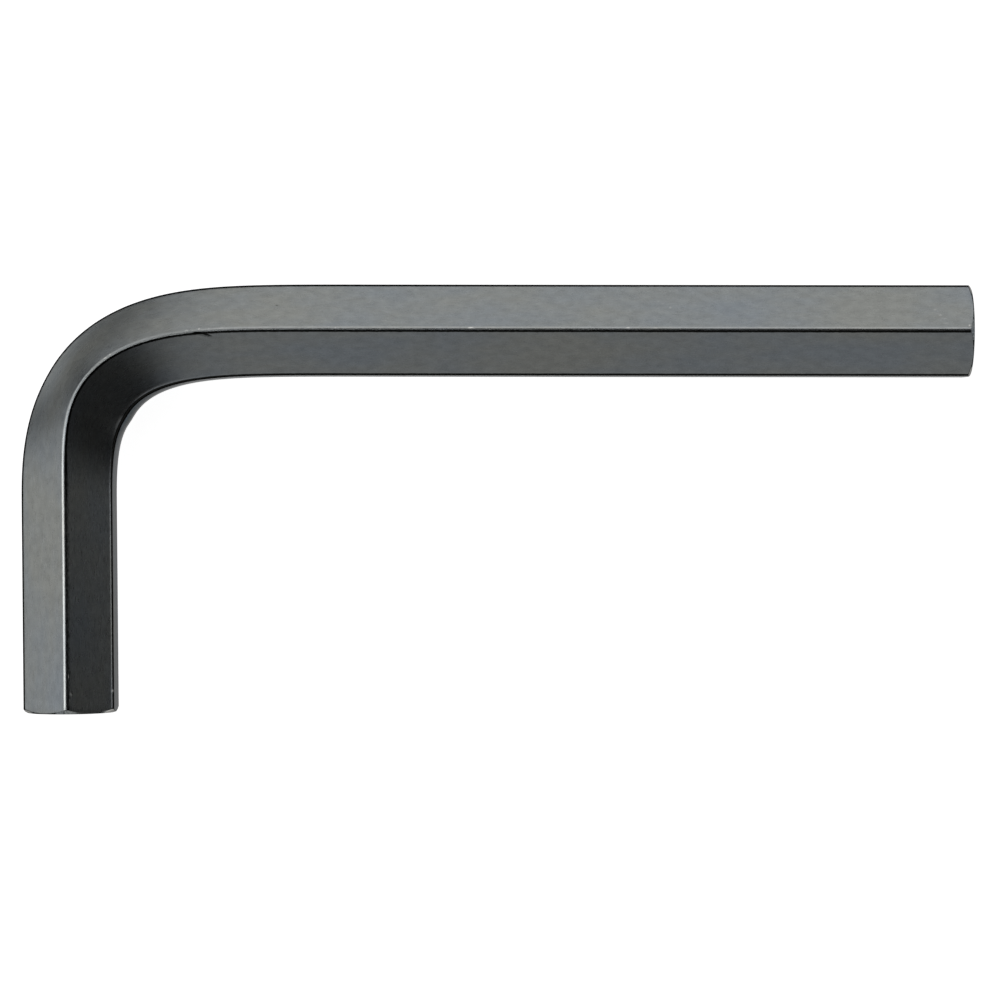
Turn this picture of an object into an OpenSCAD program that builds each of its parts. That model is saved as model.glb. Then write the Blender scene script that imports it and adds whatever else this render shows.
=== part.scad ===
/* [Key] */
// Nominal size across the flats
key_size = 17; // [12:0.5:22]
// How much smaller the bar is drawn, so that it slides into a socket of that size
undersize = 0.1; // [0:0.05:0.4]
// Radius that the drawing die leaves along the bar's six corners
corner_r = 0.9; // [0.3:0.1:2]
// Overall length of the long arm, from the back of the short arm to the tip
long_len = 177; // [130:1:320]
// Overall length of the short arm, from the back of the long arm to the tip
short_len = 80; // [72:1:140]

/* [Bend] */
// Angle between the two arms
arm_angle = 89.4; // [80:0.1:100]
// Radius of the bar's axis where the bend is tightest
bend_r = 16.6; // [15:0.1:28]
// Share of the turn on the long arm's side of the tightest place
lead_in_share = 0.665; // [0.4:0.005:0.75]
// How long the bend is drawn out towards the long arm
lead_in_power = 6; // [1:0.5:8]
// How long the bend is drawn out towards the short arm
lead_out_power = 3; // [1:0.5:5]

/* [Metal flow in the bend] */
// Share of the bending strain by which the outer flat is drawn in
outer_draw_in = 0.34; // [0:0.01:0.5]
// Share of the bending strain by which the outer flat is narrowed
outer_narrowing = 0.32; // [0:0.01:0.6]
// Share of the bending strain by which the inner flat is pushed out
inner_push_out = 0.32; // [0:0.01:0.5]
// Share of the bending strain by which the inner flat is widened
inner_widening = 0.71; // [0:0.01:0.9]
// Curvature across the inner and outer flats, as a share of that along the bend
cross_curl = 0.5; // [0:0.05:0.6]

/* [End chamfers] */
// Diameter of the flat end face inside the turned chamfer
end_face_d = 16.4; // [10:0.1:16.8]
// Angle of the chamfer, from the plane of the end face
chamfer_angle = 30; // [10:1:50]

/* [Hidden] */
steel_black = "#505456";

// Straight bar: a hexagon of corner centres, grown by the corner radius
half_flat = (key_size - undersize) / 2;
core_half = half_flat - corner_r;
core_corner = core_half / cos(30);
core_side = core_half * tan(30);
ridge_z = core_corner + corner_r;

// Bend: a lead-in that tightens smoothly to the tightest place, and a lead-out that slackens
turn = 180 - arm_angle;
lead_in_turn = turn * lead_in_share;
lead_out_turn = turn - lead_in_turn;
arc_per_degree = bend_r * PI / 180;
lead_in_len = (lead_in_power / 2 + 1) * lead_in_turn * arc_per_degree;
lead_out_len = (lead_out_power / 2 + 1) * lead_out_turn * arc_per_degree;
bend_len = lead_in_len + lead_out_len;

// Fineness of the bend: rings along it, and points round each ring
rings = 64;
ring_step = bend_len / rings;
corner_steps = 5;
flat_steps = 4;
$fn = 96;

// A smooth rise from 0 to 1 as w goes from 0 to 1, level at both ends, and its share added up
function rise(w, power) = pow(w, power) * (1 + power - power * w);
function risen(w, power) = pow(w, power + 1) * (1 + power / 2 * (1 - w));

// Place of arc length s in the lead-in and in the lead-out, from 0 on the arm to 1
function in_place(s) = max(s, 0) / lead_in_len;
function out_place(s) = max(bend_len - s, 0) / lead_out_len;

// Tightness of the bend at arc length s, from 0 on the straight arms to 1
function tightness(s) =
    s < lead_in_len ? rise(in_place(s), lead_in_power) : rise(out_place(s), lead_out_power);

// Degrees turned at arc length s, which is the tightness added up
function turned(s) =
    s < lead_in_len ?
        lead_in_turn * risen(in_place(s), lead_in_power) :
        turn - lead_out_turn * risen(out_place(s), lead_out_power);

// The axis starts along -X and turns left, towards -Y
function heading(s) = 180 + turned(s);
function along(s) = [cos(heading(s)), sin(heading(s))];
function inward(s) = [-sin(heading(s)), cos(heading(s))];

// Axis of the bend from its start, one point for each ring
axis_walk = [
    for (i = 0, p = [0, 0]; i <= rings; p = p + ring_step * along((i + 0.5) * ring_step), i = i + 1) p
];

// Strain at the flats, and how far the metal has moved there
function strain(s) = half_flat / bend_r * tightness(s);
function outer_reach(s) = half_flat * (1 - outer_draw_in * strain(s));
function inner_reach(s) = half_flat * (1 + inner_push_out * strain(s));
function outer_side(s) = core_side * (1 - outer_narrowing * strain(s));
function inner_side(s) = core_side * (1 + inner_widening * strain(s));
function curl_height(s, side) = cross_curl * tightness(s) / bend_r * side * side / 2;

// Place of the whole key: its bounding box is centred on the origin, on Z = 0
overbend = turn - 90;
furthest_back = min([for (i = [0:rings])
    axis_walk[i].x - outer_reach(i * ring_step) * inward(i * ring_step).x]);
bend_start = [-long_len / 2 - furthest_back, short_len / 2 - half_flat];
bend_end = bend_start + axis_walk[rings];
long_straight = long_len / 2 - bend_start.x;
short_tip_y = -short_len / 2 + end_face_d / 2 * abs(sin(overbend));
short_straight = (bend_end.y - short_tip_y) / cos(overbend);

long_tip = bend_start - long_straight * along(0);
short_tip = bend_end + short_straight * along(bend_len);

// Arc length and axis point of each ring, from the long arm's end to the short arm's.
// The bar is a little longer than the key, for the ends to be faced off.
facing_stock = 1;
stations = [
    -long_straight - facing_stock,
    for (i = [0:rings]) i * ring_step,
    bend_len + short_straight + facing_stock
];
axis = [
    long_tip - facing_stock * along(0),
    for (p = axis_walk) bend_start + p,
    short_tip + facing_stock * along(bend_len)
];

// One rounded corner of a ring: its normal swings clockwise from one angle to the other
function corner(centre, from, to) = [
    for (i = [0:corner_steps])
    let (a = from + (to - from) * i / corner_steps)
    centre + corner_r * [cos(a), sin(a)]
];

// One curled flat of a ring between its two corners, from the top down.
// The sign says which way is out: 1 on the inside of the bend, -1 on the outside.
function curled_flat(x, side, bulge, sign) = [
    for (i = [1:flat_steps - 1])
    let (t = 1 - 2 * i / flat_steps, tilt = atan(2 * bulge * t / side))
    [x + bulge * (1 - t * t), t * side] + sign * corner_r * [cos(tilt), sin(tilt)]
];

// Section of the bar at arc length s, as [inward, up] points, clockwise from the top ridge
function ring(s) =
    let (
        top = [0, core_corner],
        inner = [inner_reach(s) - corner_r, inner_side(s)],
        outer = [corner_r - outer_reach(s), outer_side(s)],
        crown = curl_height(s, inner.y),
        hollow = curl_height(s, outer.y),
        inner_slope = atan((top.y - inner.y) / inner.x),
        outer_slope = atan((top.y - outer.y) / -outer.x),
        inner_tilt = atan(2 * crown / inner.y),
        outer_tilt = atan(2 * hollow / outer.y),
        right = concat(
            corner(inner, 90 - inner_slope, inner_tilt),
            curled_flat(inner.x, inner.y, crown, 1),
            corner([inner.x, -inner.y], -inner_tilt, inner_slope - 90)
        ),
        left = concat(
            corner([outer.x, -outer.y], -90 - outer_slope, -180 - outer_tilt),
            [for (p = curled_flat(outer.x, outer.y, hollow, -1)) [p.x, -p.y]],
            corner(outer, outer_tilt - 180, -270 + outer_slope)
        )
    )
    concat(
        corner(top, 90 + outer_slope, 90 - inner_slope),
        right,
        corner(-top, inner_slope - 90, -90 - outer_slope),
        left
    );

// Straight bar and bend as one skin through all the rings, closed at both ends
module bent_bar() {
    sections = [for (s = stations) ring(s)];
    n = len(sections[0]);
    last = len(stations) - 1;
    skin = [
        for (i = [0:last], p = sections[i])
        let (q = axis[i] + p.x * inward(stations[i]))
        [q.x, q.y, p.y]
    ];
    walls = [
        for (i = [0:last - 1], j = [0:n - 1])
        [i * n + j, i * n + (j + 1) % n, (i + 1) * n + (j + 1) % n, (i + 1) * n + j]
    ];
    long_end = [for (j = [n - 1:-1:0]) j];
    short_end = [for (j = [0:n - 1]) last * n + j];
    polyhedron(points = skin, faces = concat(walls, [long_end, short_end]), convexity = 4);
}

// All that a lathe takes off a tip: the end is faced flat at the origin and chamfered,
// with the bar coming from -Z
module lathe_cut() {
    face_r = end_face_d / 2;
    clear_r = ridge_z + 1;
    clear_z = 2 * facing_stock;
    rotate_extrude()
        polygon([
            [0, 0],
            [face_r, 0],
            [clear_r, (face_r - clear_r) * tan(chamfer_angle)],
            [clear_r, clear_z],
            [0, clear_z]
        ]);
}

// One length of hexagon bar, bent, with both tips faced and chamfered
module hex_key() {
    color(steel_black)
        translate([0, 0, ridge_z])
            difference() {
                bent_bar();
                translate(long_tip)
                    rotate([0, 90, 0])
                        lathe_cut();
                translate(short_tip)
                    rotate([0, 90, heading(bend_len)])
                        lathe_cut();
            }
}

hex_key();
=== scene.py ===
import math

import bpy
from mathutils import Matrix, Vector


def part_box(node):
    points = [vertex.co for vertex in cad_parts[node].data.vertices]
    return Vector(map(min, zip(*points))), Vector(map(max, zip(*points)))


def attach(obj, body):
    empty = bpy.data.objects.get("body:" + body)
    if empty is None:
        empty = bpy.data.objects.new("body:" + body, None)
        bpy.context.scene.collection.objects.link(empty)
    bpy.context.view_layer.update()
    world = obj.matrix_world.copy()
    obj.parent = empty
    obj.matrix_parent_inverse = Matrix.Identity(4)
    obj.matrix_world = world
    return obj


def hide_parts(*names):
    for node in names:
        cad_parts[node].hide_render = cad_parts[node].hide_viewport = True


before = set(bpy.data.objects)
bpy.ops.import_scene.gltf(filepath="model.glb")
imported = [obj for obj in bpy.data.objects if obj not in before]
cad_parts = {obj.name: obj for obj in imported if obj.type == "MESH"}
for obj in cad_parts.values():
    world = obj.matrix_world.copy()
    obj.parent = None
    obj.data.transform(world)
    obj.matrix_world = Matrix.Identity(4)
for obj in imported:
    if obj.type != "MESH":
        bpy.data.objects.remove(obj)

scene = bpy.context.scene
scene.view_settings.view_transform = "Standard"
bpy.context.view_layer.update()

# Camera
# The photograph looks straight down on the key from about three quarters of a metre, through
# a long lens, so that the bar's ends barely lean away from its middle.
MM = 0.001
image_pixels = 1000
mm_per_pixel = 0.18726
sensor_width = 36
lens_length = 144
camera_offset = Vector((0.571, -0.089, 0)) * MM
camera_roll = 0.07

key_low, key_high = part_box("hex_key")
camera_height = mm_per_pixel * MM * image_pixels * lens_length / sensor_width
camera_data = bpy.data.cameras.new("camera")
camera_data.sensor_width = sensor_width
camera_data.lens = lens_length
camera = bpy.data.objects.new("camera", camera_data)
camera.location = (key_low + key_high) / 2 + camera_offset + Vector((0, 0, camera_height))
camera.rotation_euler = (0, 0, math.radians(camera_roll))
scene.collection.objects.link(camera)
scene.camera = camera

# Hex key
# One length of hexagon bar in chrome vanadium steel. It was drawn through a die, which rounded
# its six corners, then cut, faced and chamfered on a lathe, bent round a former and blackened.
flat_to_flat = 16.9
corner_radius = 0.9
arm_angle = 89.4
bend_radius = 16.6
lead_in_share = 0.665
lead_in_power = 6
lead_out_power = 3
outer_draw_in = 0.34
outer_narrowing = 0.32
inner_push_out = 0.32
inner_widening = 0.71
cross_curl = 0.5
end_face_radius = 8.2
chamfer_angle = 30

half_flat = flat_to_flat / 2
core_half = half_flat - corner_radius
core_corner = core_half / math.cos(math.radians(30))
core_side = core_half * math.tan(math.radians(30))
ridge_height = core_corner + corner_radius

turn = 180 - arm_angle
lead_in_turn = turn * lead_in_share
lead_out_turn = turn - lead_in_turn
arc_per_degree = math.radians(bend_radius)
lead_in = (lead_in_power / 2 + 1) * lead_in_turn * arc_per_degree
lead_out = (lead_out_power / 2 + 1) * lead_out_turn * arc_per_degree
bend_length = lead_in + lead_out
short_arm_rise = 10


def place_in_bend(s):
    """How far arc length s has come from its arm to the tightest place, and that side's power."""
    if s < lead_in:
        return max(s, 0) / lead_in, lead_in_power
    return max(bend_length - s, 0) / lead_out, lead_out_power


def tightness(s):
    """How tight the bend is at arc length s, from 0 on the arms to 1."""
    w, power = place_in_bend(s)
    return w**power * (1 + power - power * w)


def on_short_arm(s):
    """0 on the long arm, rising to 1 over the last length of the bend before the short arm."""
    return min(max(0, (s - bend_length) / short_arm_rise + 1), 1)


def heading(s):
    """Direction of the bar's axis at arc length s, in radians: the tightness added up."""
    w, power = place_in_bend(s)
    risen = w ** (power + 1) * (1 + power / 2 * (1 - w))
    turned = lead_in_turn * risen if s < lead_in else turn - lead_out_turn * risen
    return math.radians(180 + turned)


def along(s):
    return Vector((math.cos(heading(s)), math.sin(heading(s)), 0))


def inward(s):
    return Vector((-math.sin(heading(s)), math.cos(heading(s)), 0))


def outer_reach(s):
    return half_flat * (1 - outer_draw_in * half_flat / bend_radius * tightness(s))


# The axis of the bend is walked in small steps, then placed so that the key fills its CAD box
step = 0.05
walk = [Vector((0, 0, 0))]
while len(walk) * step <= bend_length + step:
    walk.append(walk[-1] + step * along((len(walk) - 0.5) * step))
furthest_back = min(p.x - outer_reach(i * step) * inward(i * step).x for i, p in enumerate(walk))
bend_start = Vector((key_low.x / MM - furthest_back, key_high.y / MM - half_flat, ridge_height))


def axis_point(s):
    """Point on the bar's axis at arc length s, in millimetres. The arms run on straight."""
    if s <= 0:
        return bend_start + s * along(0)
    if s >= bend_length:
        return axis_point(bend_length - 1e-6) + (s - bend_length) * along(bend_length)
    i = int(s / step)
    return bend_start + walk[i].lerp(walk[i + 1], s / step - i)


lean = math.radians(turn - 90)
long_tip = bend_start.x - key_high.x / MM
short_tip_y = key_low.y / MM + end_face_radius * abs(math.sin(lean))
short_tip = bend_length + (axis_point(bend_length).y - short_tip_y) / math.cos(lean)

# Outline of the bar across its axis: six corner arcs with a flat between each two. Every point
# is (inward, up, normal inward, normal up, shade). Shade is 1 in a line of painted shade along
# one edge of each corner arc, and -1 in a line of painted highlight beside it.
corner_steps = 10
side_flat_steps = 10
# Where a flat's points lie, in millimetres from its ridge and from its side corner. They are
# close together beside the top ridge, where most marks are.
beside_top_ridge = (
    0.08, 0.18, 0.3, 0.45, 0.62, 0.8, 1.0, 1.25, 1.55, 1.85, 2.2, 2.6, 3.0, 3.4, 3.8, 4.2, 4.6,
    5.0, 5.5,
)
beside_low_ridge = (0.2, 0.45, 1.2, 3.0)
beside_side_corner = (2.2, 1.1, 0.45, 0.2)
# In the bend the outer sloping flats are crowned across, and the inner corners rounded more
outer_crown = 0.10
inner_corner_growth = 0.5
# How far a corner's shade runs out over the flats, and inwards from the short arm's top ridge
line_run_out = 0.3
short_arm_run_out = 1.0
# Where the painted shade and highlight lines lie on a ridge's arc, as shares of it. The painted
# shade line is closer to the middle in the bend, and wider but weaker on the short arm.
dark_place = 0.98
dark_place_in_bend = 0.90
dark_half_width = 0.30
short_arm_dark_half_width = 0.47
short_arm_darkness = 0.52
highlight_place = 0.24
highlight_half_width = 0.32
# Arc length at which the ridge's painted highlight is weakest, where the bend tightens
weakest_highlight_at = 56
weakest_highlight_reach = 16
weakest_highlight = 0.1
# Where a side corner's painted shade starts, as a share of its arc, and how quickly it gets dark
inner_start = -0.04
inner_start_in_bend = 0.16
inner_start_on_short_arm = 0.05
outer_start = -0.02
outer_start_in_bend = -0.14
dark_rise = 0.3
# The painted highlight line that lies before it, and how strong it is
side_highlight_ahead = 0.1
side_highlight_half_width = 0.22
side_highlight = 0.6
inner_highlight_in_bend = 1.5


def blend(a, b, share):
    return a + (b - a) * share


def bump_at(share, place, half_width):
    """A bump of height 1 at one place across a corner's arc."""
    return max(0, 1 - ((share - place) / half_width) ** 2)


def ridge_line(s):
    """Painted shade across a ridge's arc: a painted highlight line on its outer half and a painted
    shade line beyond.
    """
    place = blend(dark_place, dark_place_in_bend, tightness(s))
    half_width = blend(dark_half_width, short_arm_dark_half_width, on_short_arm(s))
    strength = blend(1, short_arm_darkness, on_short_arm(s))
    highlight_strength = blend(1, weakest_highlight, bump_at(s, weakest_highlight_at, weakest_highlight_reach))

    def shade(share):
        dark = strength * bump_at(share, place, half_width)
        return dark - highlight_strength * bump_at(share, highlight_place, highlight_half_width)

    return shade


def side_line(start, highlight_strength):
    """Painted shade across a side corner's arc: a painted highlight beside the flat, and painted
    shade from its start on.
    """

    def shade(share):
        dark = min(max(0, share - start) / dark_rise, 1)
        return dark - highlight_strength * bump_at(share, start - side_highlight_ahead, side_highlight_half_width)

    return shade


def corner(x, z, start, end, shade_at, backwards=False, growth=0):
    """The arc of one corner, from one direction of its normal to the other, in degrees."""
    radius = corner_radius + growth
    middle = math.radians((start + end) / 2)
    back = growth / math.cos(math.radians((start - end) / 2))
    x -= back * math.cos(middle)
    z -= back * math.sin(middle)
    points = []
    for i in range(corner_steps + 1):
        share = i / corner_steps
        a = math.radians(start + (end - start) * share)
        nx, nz = math.cos(a), math.sin(a)
        shade = shade_at(1 - share if backwards else share)
        points.append((x + radius * nx, z + radius * nz, nx, nz, shade))
    return points


def run_out(before, after, share, reach=line_run_out):
    """Painted shade and highlight on a flat, where the lines of the corners at both its edges run
    out.
    """
    length = math.dist(before[:2], after[:2])
    from_before = before[4] * max(0, 1 - share * length / reach)
    from_after = after[4] * max(0, 1 - (1 - share) * length / line_run_out)
    return from_before + from_after


def sloping_flat(before, after, from_before, from_after, crowned, reach=line_run_out):
    """A flat beside a ridge, with its points at these distances from its two edges."""
    length = math.dist(before[:2], after[:2])
    shares = [d / length for d in from_before] + [1 - d / length for d in from_after]
    points = []
    for share in shares:
        x, z, nx, nz = [a + (b - a) * share for a, b in zip(before[:4], after[:4])]
        rise = 4 * crowned * share * (1 - share)
        shade = run_out(before, after, share, reach)
        points.append((x + rise * nx, z + rise * nz, nx, nz, shade))
    return points


def side_flat(x, side, curl, out, before, after):
    """The upright flat inside (out 1) or outside (out -1) the bend, curled across by the bending."""
    half_height = side + out * corner_radius * math.sin(math.atan(2 * curl / side))
    reach = abs(before[1]) / half_height
    points = []
    for i in range(1, side_flat_steps):
        t = math.cos(math.pi * i / side_flat_steps)
        shade = run_out(before, after, (1 - t) / 2)
        t *= out * reach
        tilt = math.atan(2 * curl * t / side)
        nx, nz = out * math.cos(tilt), out * math.sin(tilt)
        p = (x + curl * (1 - t * t) + corner_radius * nx, t * side + corner_radius * nz)
        points.append((*p, nx, nz, shade))
    return points


def outline(s):
    """The bar's outline at arc length s, clockwise from the top ridge."""
    k = tightness(s)
    strain = half_flat / bend_radius * k
    inner_x = half_flat * (1 + inner_push_out * strain) - corner_radius
    inner_z = core_side * (1 + inner_widening * strain)
    outer_x = corner_radius - outer_reach(s)
    outer_z = core_side * (1 - outer_narrowing * strain)
    crown = cross_curl * k / bend_radius * inner_z**2 / 2
    hollow = cross_curl * k / bend_radius * outer_z**2 / 2
    inner_slope = math.degrees(math.atan((core_corner - inner_z) / inner_x))
    outer_slope = math.degrees(math.atan((core_corner - outer_z) / -outer_x))
    inner_tilt = math.degrees(math.atan(2 * crown / inner_z))
    outer_tilt = math.degrees(math.atan(2 * hollow / outer_z))
    growth = inner_corner_growth * k
    crowned = outer_crown * k
    ridge = ridge_line(s)
    on_arm = blend(inner_start, inner_start_on_short_arm, on_short_arm(s))
    start = on_arm + (inner_start_in_bend - inner_start) * k
    inside = side_line(start, blend(side_highlight, inner_highlight_in_bend, k))
    outside = side_line(blend(outer_start, outer_start_in_bend, k), side_highlight)
    top = corner(0, core_corner, 90 + outer_slope, 90 - inner_slope, ridge)
    inner_top = corner(inner_x, inner_z, 90 - inner_slope, inner_tilt, inside, False, growth)
    inner_low = corner(inner_x, -inner_z, -inner_tilt, inner_slope - 90, inside, True, growth)
    low = corner(0, -core_corner, inner_slope - 90, -90 - outer_slope, ridge, True)
    outer_low = corner(outer_x, -outer_z, -90 - outer_slope, -180 - outer_tilt, outside)
    outer_top = corner(outer_x, outer_z, outer_tilt - 180, outer_slope - 270, outside, True)
    reach = blend(line_run_out, short_arm_run_out, on_short_arm(s))
    to_side = beside_side_corner
    from_side = to_side[::-1]
    return [
        *top, *sloping_flat(top[-1], inner_top[0], beside_top_ridge, to_side, 0, reach),
        *inner_top, *side_flat(inner_x, inner_z, crown, 1, inner_top[-1], inner_low[0]),
        *inner_low, *sloping_flat(inner_low[-1], low[0], from_side, beside_low_ridge[::-1], 0),
        *low, *sloping_flat(low[-1], outer_low[0], beside_low_ridge, to_side, crowned),
        *outer_low, *side_flat(outer_x, outer_z, hollow, -1, outer_low[-1], outer_top[0]),
        *outer_top, *sloping_flat(outer_top[-1], top[0], from_side, beside_top_ridge[::-1], crowned),
    ]


# Distance round the straight bar from the crest of the top ridge, positive towards the inside
bar = outline(0)
count = len(bar)
girth = [0]
for a, b in zip(bar, bar[1:] + bar[:1]):
    girth.append(girth[-1] + math.dist(a[:2], b[:2]))
around = [g - girth[corner_steps // 2] for g in girth]

# Marks that handling and bending have left, seen in the photograph. Each is (distance from the
# long tip, distance round from the top ridge, half length, half width, skew in degrees, depth,
# wear), in millimetres. Wear is 1 where the steel is rubbed bare and -1 where the mark is darkened.
marks = [
    # Nicks on the top ridge, and the rubbed ridge at the tightest place of the bend
    (93.4, -0.25, 0.80, 0.16, 0, 0.030, 1.0),
    (64.3, -0.25, 0.70, 0.18, 0, 0.015, 0.7),
    (59.2, -0.22, 0.90, 0.18, 0, 0.008, 0.5),
    (118.4, -0.20, 0.25, 0.14, 0, 0.020, 0.7),
    (161.8, -0.22, 0.45, 0.14, 0, 0.010, 0.7),
    (160.7, -0.24, 0.35, 0.14, 0, 0.010, 0.6),
    (173.1, 0.60, 0.25, 0.14, 0, 0.015, 0.5),
    (1.2, -0.80, 0.30, 0.12, 90, 0.030, 0.9),
    # Crease where the former pinched the ridge, darkened along it, with rubbed specks beside it
    (142.3, 0.72, 1.50, 0.17, -23, 0.060, -1.0),
    (142.9, 1.15, 1.30, 0.20, -20, -0.030, 0.0),
    (143.8, 0.25, 1.60, 0.25, -8, 0.040, -0.7),
    (145.9, -0.40, 0.45, 0.14, 5, 0.020, 0.5),
    (143.6, -0.45, 0.25, 0.16, 20, 0.030, 0.9),
    (141.8, -0.40, 0.25, 0.14, 0, 0.020, 0.5),
    (139.3, -0.42, 0.70, 0.12, 0, 0.015, 0.4),
    # Specks beside the ridge near the short tip, and a knock on the inner corner
    (222.9, 0.60, 0.45, 0.14, 10, 0.030, 0.6),
    (226.2, 1.10, 0.45, 0.22, 15, 0.030, 1.0),
    (227.3, 0.80, 0.50, 0.12, 0, 0.020, 0.5),
    (225.8, 9.55, 0.40, 0.30, 0, 0.040, 0.4),
    # A speck on the back flat near the bend
    (129.2, -5.00, 0.55, 0.14, -10, 0.012, -0.5),
    # Faint scuffs on the back flat, near the long tip and on the middle of the long arm
    (8.4, -5.20, 0.80, 0.22, -8, 0.003, 0.36),
    (7.4, -4.30, 0.70, 0.22, -14, 0.003, 0.32),
    (6.5, -3.10, 0.90, 0.22, -12, 0.003, 0.30),
    (5.2, -2.20, 1.00, 0.22, -12, 0.003, 0.30),
    (5.5, -1.30, 1.00, 0.22, -12, 0.003, 0.26),
    (58.2, -5.70, 1.10, 0.24, -28, 0.003, 0.32),
    (56.4, -4.70, 0.90, 0.22, -30, 0.003, 0.32),
]
# A mark fades out as a bell curve, which ends at this many times its half length and half width
mark_end = 2
mark_fade = 2
# Rings from a mark's middle to its end, and their widest step as a share of its half width. They
# stand close as far out as this many times its half length.
rings_along_mark = 3
step_across_mark = 0.8
fine_reach = 1.5

# Broad clouds in the oxide, seen in the photograph. Each is (distance from the long tip, distance
# round from the top ridge, half length, tinge). Tinge is positive where bluish.
cloud_half_width = 4
broad_clouds = (
    (113, 5, 12, 0.25), (77, 5, 16, -0.36), (50, 5, 7, 0.3), (24, 5, 24, 0.2),
    (134, -5, 24, -0.28), (70, -5, 30, 0.05), (14, -5, 14, -0.34),
    (198, -5, 20, -0.35), (181, -5, 5, 0.3), (165, -5, 10, -0.08), (227, -5, 7, 0.2),
)


def clouded(place, v):
    """Tinge of the oxide at a place on the bar."""
    total = 0
    for middle, side, half_length, tinge in broad_clouds:
        dl, dw = (place - middle) / half_length, (v - side) / cloud_half_width
        total += tinge * math.exp(-dl * dl - dw * dw)
    return total


def marks_near(place):
    return [m for m in marks if abs(place - m[0]) < mark_end * (m[2] + m[3])]


def pressed(near, place, v):
    """Depth of the marks at a place on the bar, and their strongest wear."""
    depth, wear = 0, 0
    for middle, side, half_length, half_width, skew, deep, worn in near:
        ds, dv = place - middle, v - side
        a = math.radians(skew)
        dl = (ds * math.cos(a) + dv * math.sin(a)) / half_length
        dw = (dv * math.cos(a) - ds * math.sin(a)) / half_width
        if dl * dl + dw * dw < mark_end**2:
            drop = math.exp(-mark_fade * (dl * dl + dw * dw))
            depth += deep * drop
            if abs(worn * drop) > abs(wear):
                wear = worn * drop
    return depth, wear


# Both tips. Each lengthwise line of the bar runs on over a broken edge, down the turned
# chamfer, over a second broken edge and across the end face to its middle.
edge_break = 0.13
edge_points = 5
face_rings = (7.6, 7.0, 6.2, 5.2, 4.0, 2.6, 1.2)
slope = Vector((math.sin(math.radians(chamfer_angle)), -math.cos(math.radians(chamfer_angle))))


def broken_edge(middle, before, after):
    """Points round an edge, as (distance out along the axis, radius)."""
    points = []
    for i in range(edge_points):
        t = i / (edge_points - 1)
        points.append(middle - before * edge_break * (1 - t) ** 2 + after * edge_break * t**2)
    return points


def tip_line(reach):
    """One line of a tip, from the bar's skin at this radius to the middle of the end face."""
    rim = Vector(((end_face_radius - reach) * math.tan(math.radians(chamfer_angle)), reach))
    points = broken_edge(rim, Vector((1, 0)), slope)
    points += broken_edge(Vector((0, end_face_radius)), slope, Vector((0, -1)))
    return points + [Vector((0, r)) for r in face_rings]


# Painted shade along a tip line: a painted highlight on the outer edge and painted shade on the
# rim of the end face. At the side corners the outer edge has painted shade, and sockets have
# rubbed the chamfer bare.
edge_shades = (0, -0.3, 0.4, 1, 0.9, 0.9, 1, 1, 1, 0.8)
corner_edge_shades = (0, 0.7, 1, 0.7, 0.1, 0, 0.6, 1, 1, 0.8)
corner_wear = 0.7
side_corners_beyond = 7.6
# Which points of a tip line are rubbed bare at the side corners, and which lie on the chamfer's
# outer half. That half's painted shade is darkest where the chamfer is narrowest, in the middle of
# each flat.
rubbed_points = range(4, 8)
outer_half = range(3, 6)
ridge_lightening = 0.55
lightening_rate = 2.5
# The lathe's lines show fully from this point of a tip line on
turned_from = 3

points = []
shades = []
wears = []
tinges = []
turned_marks = []
paths = []


def add_point(p, shade, wear, tinge, lathe, path):
    points.append((p.x * MM, p.y * MM, p.z * MM))
    shades.append(shade)
    wears.append(wear)
    tinges.append(tinge)
    turned_marks.append(lathe)
    paths.append(path * MM)


def add_ring(s):
    """One ring of points round the bar, with the marks pressed into it."""
    middle, side = axis_point(s), inward(s)
    near = marks_near(s - long_tip)
    for (x, z, nx, nz, shade), v in zip(outline(s), around):
        place = v - girth[-1] if v > girth[-1] / 2 else v
        depth, wear = pressed(near, s - long_tip, place)
        p = middle + side * (x - depth * nx)
        p.z += z - depth * nz
        add_point(p, shade, wear, clouded(s - long_tip, place), 0, s)


def tip_rings(tip, way):
    """Rings of a tip from the bar outwards. Way is 1 at the end that the arc length grows to."""
    middle, side, out = axis_point(tip), inward(tip), along(tip) * way
    lines = [tip_line(math.hypot(x, z)) for x, z, *_ in bar]
    for i in range(len(lines[0])):
        ring = []
        for (x, z, _, _, shade), line in zip(bar, lines):
            axial, radius = line[i]
            p = middle + out * axial + side * x * radius / math.hypot(x, z)
            p.z += z * radius / math.hypot(x, z)
            at_corner = abs(x) > side_corners_beyond
            edge = corner_edge_shades if at_corner else edge_shades
            dark = edge[i] if i < len(edge) else 0
            if i in outer_half and not at_corner:
                ridge_share = (math.hypot(x, z) - half_flat) / (ridge_height - half_flat)
                dark -= ridge_lightening * min(1, lightening_rate * ridge_share)
            if i == 0:
                dark = shade
            wear = corner_wear if i in rubbed_points and at_corner else 0
            path = tip + way * (axial + max(end_face_radius - radius, 0))
            ring.append((p, dark, wear, 0, min(i / turned_from, 1), path))
        yield ring


def next_step(s, plain_step):
    """Step to the next ring: small at a mark, so that its shape comes out."""
    fine = [
        min(half_length / rings_along_mark, step_across_mark * half_width)
        for middle, _, half_length, half_width, *_ in marks
        if abs(s - long_tip - middle) < fine_reach * half_length + half_width
    ]
    return min([plain_step, *fine])


# The bar's own rings end this far from each tip. They stand closer in the bend than on the arms,
# and closest at the marks.
tip_room = 1.15
arm_step = 0.8
bend_step = 0.5
for ring in reversed(list(tip_rings(long_tip, -1))):
    for values in ring:
        add_point(*values)
s = long_tip + tip_room
while s < short_tip - tip_room:
    add_ring(s)
    s += next_step(s, bend_step if 0 < s < bend_length else arm_step)
add_ring(short_tip - tip_room)
for ring in tip_rings(short_tip, 1):
    for values in ring:
        add_point(*values)

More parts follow.
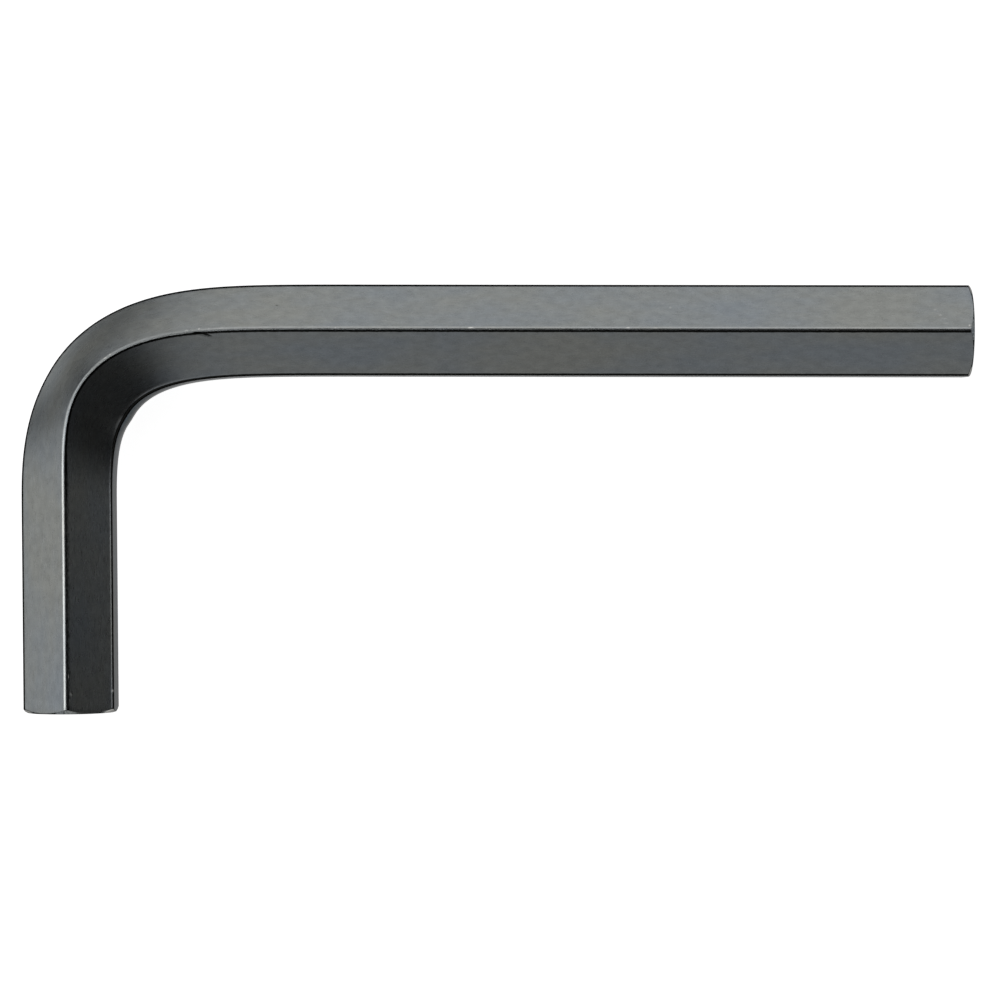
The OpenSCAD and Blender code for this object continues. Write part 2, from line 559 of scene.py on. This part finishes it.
faces = []
rings = len(points) // count
for i in range(rings - 1):
    for j in range(count):
        k = (j + 1) % count
        faces.append((i * count + j, (i + 1) * count + j, (i + 1) * count + k, i * count + k))
for first, tip in ((0, long_tip), ((rings - 1) * count, short_tip)):
    middle = len(points)
    add_point(axis_point(tip), 0, 0, 0, 1, tip)
    for j in range(count):
        a, b = first + j, first + (j + 1) % count
        faces.append((a, b, middle) if first == 0 else (b, a, middle))

mesh = bpy.data.meshes.new("key_bar")
mesh.from_pydata(points, [], faces)
mesh.shade_smooth()
for name, values in (
    ("shade", shades), ("wear", wears), ("tinge", tinges), ("lathe", turned_marks),
):
    mesh.attributes.new(name, "FLOAT", "POINT").data.foreach_set("value", values)

# The bar map unrolls the skin: along the bar and round it, in metres
bar_map = mesh.uv_layers.new(name="bar_map")
for polygon in mesh.polygons:
    columns = [v % count for v in polygon.vertices]
    seam = 0 in columns and count - 1 in columns
    for loop, vertex, column in zip(polygon.loop_indices, polygon.vertices, columns):
        v = girth[-1] if seam and column == 0 else girth[column]
        bar_map.data[loop].uv = (paths[vertex], v * MM)

key = bpy.data.objects.new("key_bar", mesh)
scene.collection.objects.link(key)
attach(key, "root")
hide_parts("hex_key")


def rgb(code):
    """Linear colour of an sRGB hex code."""
    parts = [int(code[i:i + 2], 16) / 255 for i in (1, 3, 5)]
    return (*[c / 12.92 if c <= 0.04045 else ((c + 0.055) / 1.055) ** 2.4 for c in parts], 1)


def add(tree, kind, settings, links=None):
    """Adds a node, sets its inputs and its own settings, and links sockets into its inputs."""
    node = tree.nodes.new("ShaderNode" + kind)
    for name, value in settings.items():
        if isinstance(name, int) or name in node.inputs:
            node.inputs[name].default_value = value
        else:
            setattr(node, name, value)
    for name, socket in (links or {}).items():
        tree.links.new(socket, node.inputs[name])
    return node


# Black oxide on drawn steel, rubbed bare at nicks, with lines of painted shade and painted
# highlight along its corners. The oxide is a thin skin of magnetite that still mirrors as metal
# does, but darkly. It gives a satin graphite grey with fine lines from the die, and bluish and
# olive clouds where the bath took unevenly.
# Sizes of the patterns along the bar and round it, in metres
cloud_size = Vector((0.022, 0.007, 1))
blotch_size = Vector((0.0022, 0.0012, 1))
# Real die lines and oxide grain are a few hundredths of a millimetre wide or less, and are
# drawn here as coarse as they show
die_line_size = Vector((0.0022, 0.00024, 1))
turning_line_size = Vector((0.00016, 0.006, 1))
grain_size = Vector((0.00032, 0.00028, 1))
ragged_size = Vector((0.0009, 0.0003, 1))
line_depth = 0.0000003
# A noise pattern lies mostly between these two values
noise_low, noise_high = 0.3, 0.7
# Sockets of a Mix node, for numbers and for colours
MIX_SHARE, NUMBER_A, NUMBER_B, NUMBER_OUT = 0, 2, 3, 0
COLOUR_A, COLOUR_B, COLOUR_OUT = 6, 7, 2

steel = bpy.data.materials.new("black_oxide_on_drawn_steel")
steel.use_nodes = True
tree = steel.node_tree
tree.nodes.clear()
skin = add(tree, "UVMap", {"uv_map": "bar_map"}).outputs[0]
shade = add(tree, "Attribute", {"attribute_name": "shade"}).outputs["Fac"]
wear = add(tree, "Attribute", {"attribute_name": "wear"}).outputs["Fac"]
tinge = add(tree, "Attribute", {"attribute_name": "tinge"}).outputs["Fac"]
lathe = add(tree, "Attribute", {"attribute_name": "lathe"}).outputs["Fac"]

clouds, blotches, die_lines, turning_lines, grain, ragged = [
    add(
        tree, "TexNoise",
        {"noise_dimensions": "2D", "Scale": 1, "Detail": detail, "Roughness": 0.6},
        {"Vector": add(
            tree, "VectorMath",
            {"operation": "DIVIDE", 1: size},
            {0: skin},
        ).outputs[0]},
    ).outputs[0]
    for size, detail in (
        (cloud_size, 4), (blotch_size, 3), (die_line_size, 3), (turning_line_size, 2),
        (grain_size, 1), (ragged_size, 3),
    )
]

hue = add(tree, "Math", {"operation": "ADD"}, {0: clouds, 1: tinge}).outputs[0]
tint = add(tree, "ValToRGB", {}, {"Fac": hue})
tint.color_ramp.elements[0].position = 0.25
tint.color_ramp.elements[0].color = rgb("#8c8e8b")
tint.color_ramp.elements[1].position = 0.75
tint.color_ramp.elements[1].color = rgb("#858b90")

lines = add(
    tree, "Mix", {"data_type": "FLOAT"},
    {MIX_SHARE: lathe, NUMBER_A: die_lines, NUMBER_B: turning_lines},
).outputs[NUMBER_OUT]
streaks, patches, speckle = [
    add(
        tree, "MapRange",
        {"From Min": noise_low, "From Max": noise_high, "To Min": low, "To Max": high},
        {"Value": pattern},
    ).outputs[0]
    for pattern, low, high in (
        (lines, 0.945, 1.055), (blotches, 0.92, 1.08), (grain, 0.95, 1.05),
    )
]
brightness = add(tree, "Math", {"operation": "MULTIPLY"}, {0: streaks, 1: patches}).outputs[0]
brightness = add(tree, "Math", {"operation": "MULTIPLY"}, {0: brightness, 1: speckle}).outputs[0]
oxide = add(
    tree, "VectorMath", {"operation": "SCALE"},
    {0: tint.outputs[0], "Scale": brightness},
).outputs[0]

# Marks whose wear is below zero are darkened
darkened_marks = add(
    tree, "MapRange", {"From Min": 0, "From Max": -0.7, "To Min": 0, "To Max": 1},
    {"Value": wear},
).outputs[0]
# The painted shade and highlight lines along the corners have ragged edges, and the painted
# highlights are broken
nibble = add(
    tree, "MapRange",
    {"From Min": noise_low, "From Max": noise_high, "To Min": -0.12, "To Max": 0.12},
    {"Value": ragged},
).outputs[0]
ragged_shade = add(tree, "Math", {"operation": "ADD"}, {0: shade, 1: nibble}).outputs[0]
dark = add(tree, "Math", {"operation": "MAXIMUM"}, {0: ragged_shade, 1: darkened_marks}).outputs[0]
darkness = add(
    tree, "MapRange",
    {"interpolation_type": "SMOOTHSTEP", "From Min": 0.15, "From Max": 0.7, "To Max": 1},
    {"Value": dark},
).outputs[0]
# Painted shade: the corner lines and the darkened marks turn the oxide near black
darkened = add(
    tree, "Mix", {"data_type": "RGBA", COLOUR_B: rgb("#1c1c1b")},
    {MIX_SHARE: darkness, COLOUR_A: oxide},
).outputs[COLOUR_OUT]
# Painted highlight: where the shade is below zero the colour is lifted towards bare steel
painted_highlight = add(
    tree, "MapRange", {"From Min": -0.3, "From Max": -1.3, "To Min": 0, "To Max": 0.3},
    {"Value": ragged_shade},
).outputs[0]
bare = add(
    tree, "MapRange", {"From Min": 0.1, "From Max": 0.8, "To Min": 0, "To Max": 1},
    {"Value": wear},
).outputs[0]
highlight_and_bare = add(tree, "Math", {"operation": "MAXIMUM"}, {0: painted_highlight, 1: bare}).outputs[0]
# Bare steel colour, for the rubbed nicks and the painted highlight lines
colour = add(
    tree, "Mix", {"data_type": "RGBA", COLOUR_B: rgb("#d7d6d2")},
    {MIX_SHARE: highlight_and_bare, COLOUR_A: darkened},
).outputs[COLOUR_OUT]

gloss = add(
    tree, "MapRange",
    {"From Min": noise_low, "From Max": noise_high, "To Min": 0.27, "To Max": 0.29},
    {"Value": lines},
).outputs[0]
relief = add(
    tree, "Bump", {"Strength": 1.0, "Distance": line_depth},
    {"Height": lines},
).outputs[0]
# Oxide stays dark at a glancing angle, where bare steel would turn white
shader = add(
    tree, "BsdfPrincipled", {"Metallic": 1.0, "Specular Tint": rgb("#747474")},
    {"Base Color": colour, "Roughness": gloss, "Normal": relief},
)
add(tree, "OutputMaterial", {}, {"Surface": shader.outputs[0]})
mesh.materials.append(steel)

# Floor
# A matt white table, which burns out to pure white in the photograph and keeps only the
# faintest shadow close under the key.
floor_size = 12
table_glow = 0.94

bpy.ops.mesh.primitive_plane_add(size=floor_size)
floor = bpy.context.object
floor.name = "floor"

table = bpy.data.materials.new("matt_white_table")
table.use_nodes = True
tree = table.node_tree
tree.nodes.clear()
# The glow lifts the table to white for the eye and in the key's mirror, and casts no light
ray = add(tree, "LightPath", {})
seen = add(
    tree, "Math", {"operation": "MAXIMUM"},
    {0: ray.outputs["Is Camera Ray"], 1: ray.outputs["Is Glossy Ray"]},
)
seen = add(
    tree, "Math", {"operation": "MAXIMUM"},
    {0: seen.outputs[0], 1: ray.outputs["Is Transmission Ray"]},
)
lift = add(tree, "Math", {"operation": "MULTIPLY", 1: table_glow}, {0: seen.outputs[0]})
glow = add(tree, "Emission", {"Color": rgb("#ffffff")}, {"Strength": lift.outputs[0]})
matt = add(tree, "BsdfDiffuse", {"Color": rgb("#a0a0a0")})
both = add(tree, "AddShader", {}, {0: glow.outputs[0], 1: matt.outputs[0]})
add(tree, "OutputMaterial", {}, {"Surface": both.outputs[0]})
floor.data.materials.append(table)

# Lamps
# Soft boxes stand round the table, and the room is dark overhead, where the camera hangs.
# Each lamp is given by its place and its size as seen from the key, in degrees.
lamp_distance = 1.6
lamps = (
    # name, direction round, degrees from overhead, height, width, brightness
    ("back_box", 96.5, 44.3, 53.7, 85, 1.02),
    ("left_box", 182, 54.5, 42.3, 53, 0.83),
    ("left_strip", 186, 29.2, 44.6, 14.6, 2.75),
    ("front_box", 260, 64.8, 42.9, 100, 0.44),
    ("right_strip", 15, 72, 20.4, 44, 1.34),
)
for name, direction, from_overhead, height, width, brightness in lamps:
    data = bpy.data.lights.new(name, "AREA")
    data.shape = "RECTANGLE"
    data.size = 2 * lamp_distance * math.tan(math.radians(width / 2))
    data.size_y = 2 * lamp_distance * math.tan(math.radians(height / 2))
    data.energy = brightness * math.pi * data.size * data.size_y
    lamp = bpy.data.objects.new(name, data)
    a, e = math.radians(direction), math.radians(from_overhead)
    toward = Vector((math.cos(a) * math.sin(e), math.sin(a) * math.sin(e), math.cos(e)))
    lamp.location = toward * lamp_distance
    lamp.rotation_euler = (-toward).to_track_quat("-Z", "Y").to_euler()
    scene.collection.objects.link(lamp)

# The room is grey at the horizon and nearly black from a little above it
room_at_horizon = (0.35, 0.35, 0.35, 1)
room_overhead = (0.008, 0.008, 0.008, 1)
dark_from = 0.12

world = bpy.data.worlds.new("room")
world.use_nodes = True
tree = world.node_tree
tree.nodes.clear()
direction = add(tree, "TexCoord", {})
upward = add(tree, "SeparateXYZ", {}, {0: direction.outputs["Generated"]})
room = add(tree, "ValToRGB", {}, {"Fac": upward.outputs["Z"]})
room.color_ramp.elements[0].position = 0.0
room.color_ramp.elements[0].color = room_at_horizon
room.color_ramp.elements[1].position = dark_from
room.color_ramp.elements[1].color = room_overhead
back = add(tree, "Background", {}, {"Color": room.outputs[0]})
add(tree, "OutputWorld", {}, {"Surface": back.outputs[0]})
scene.world = world
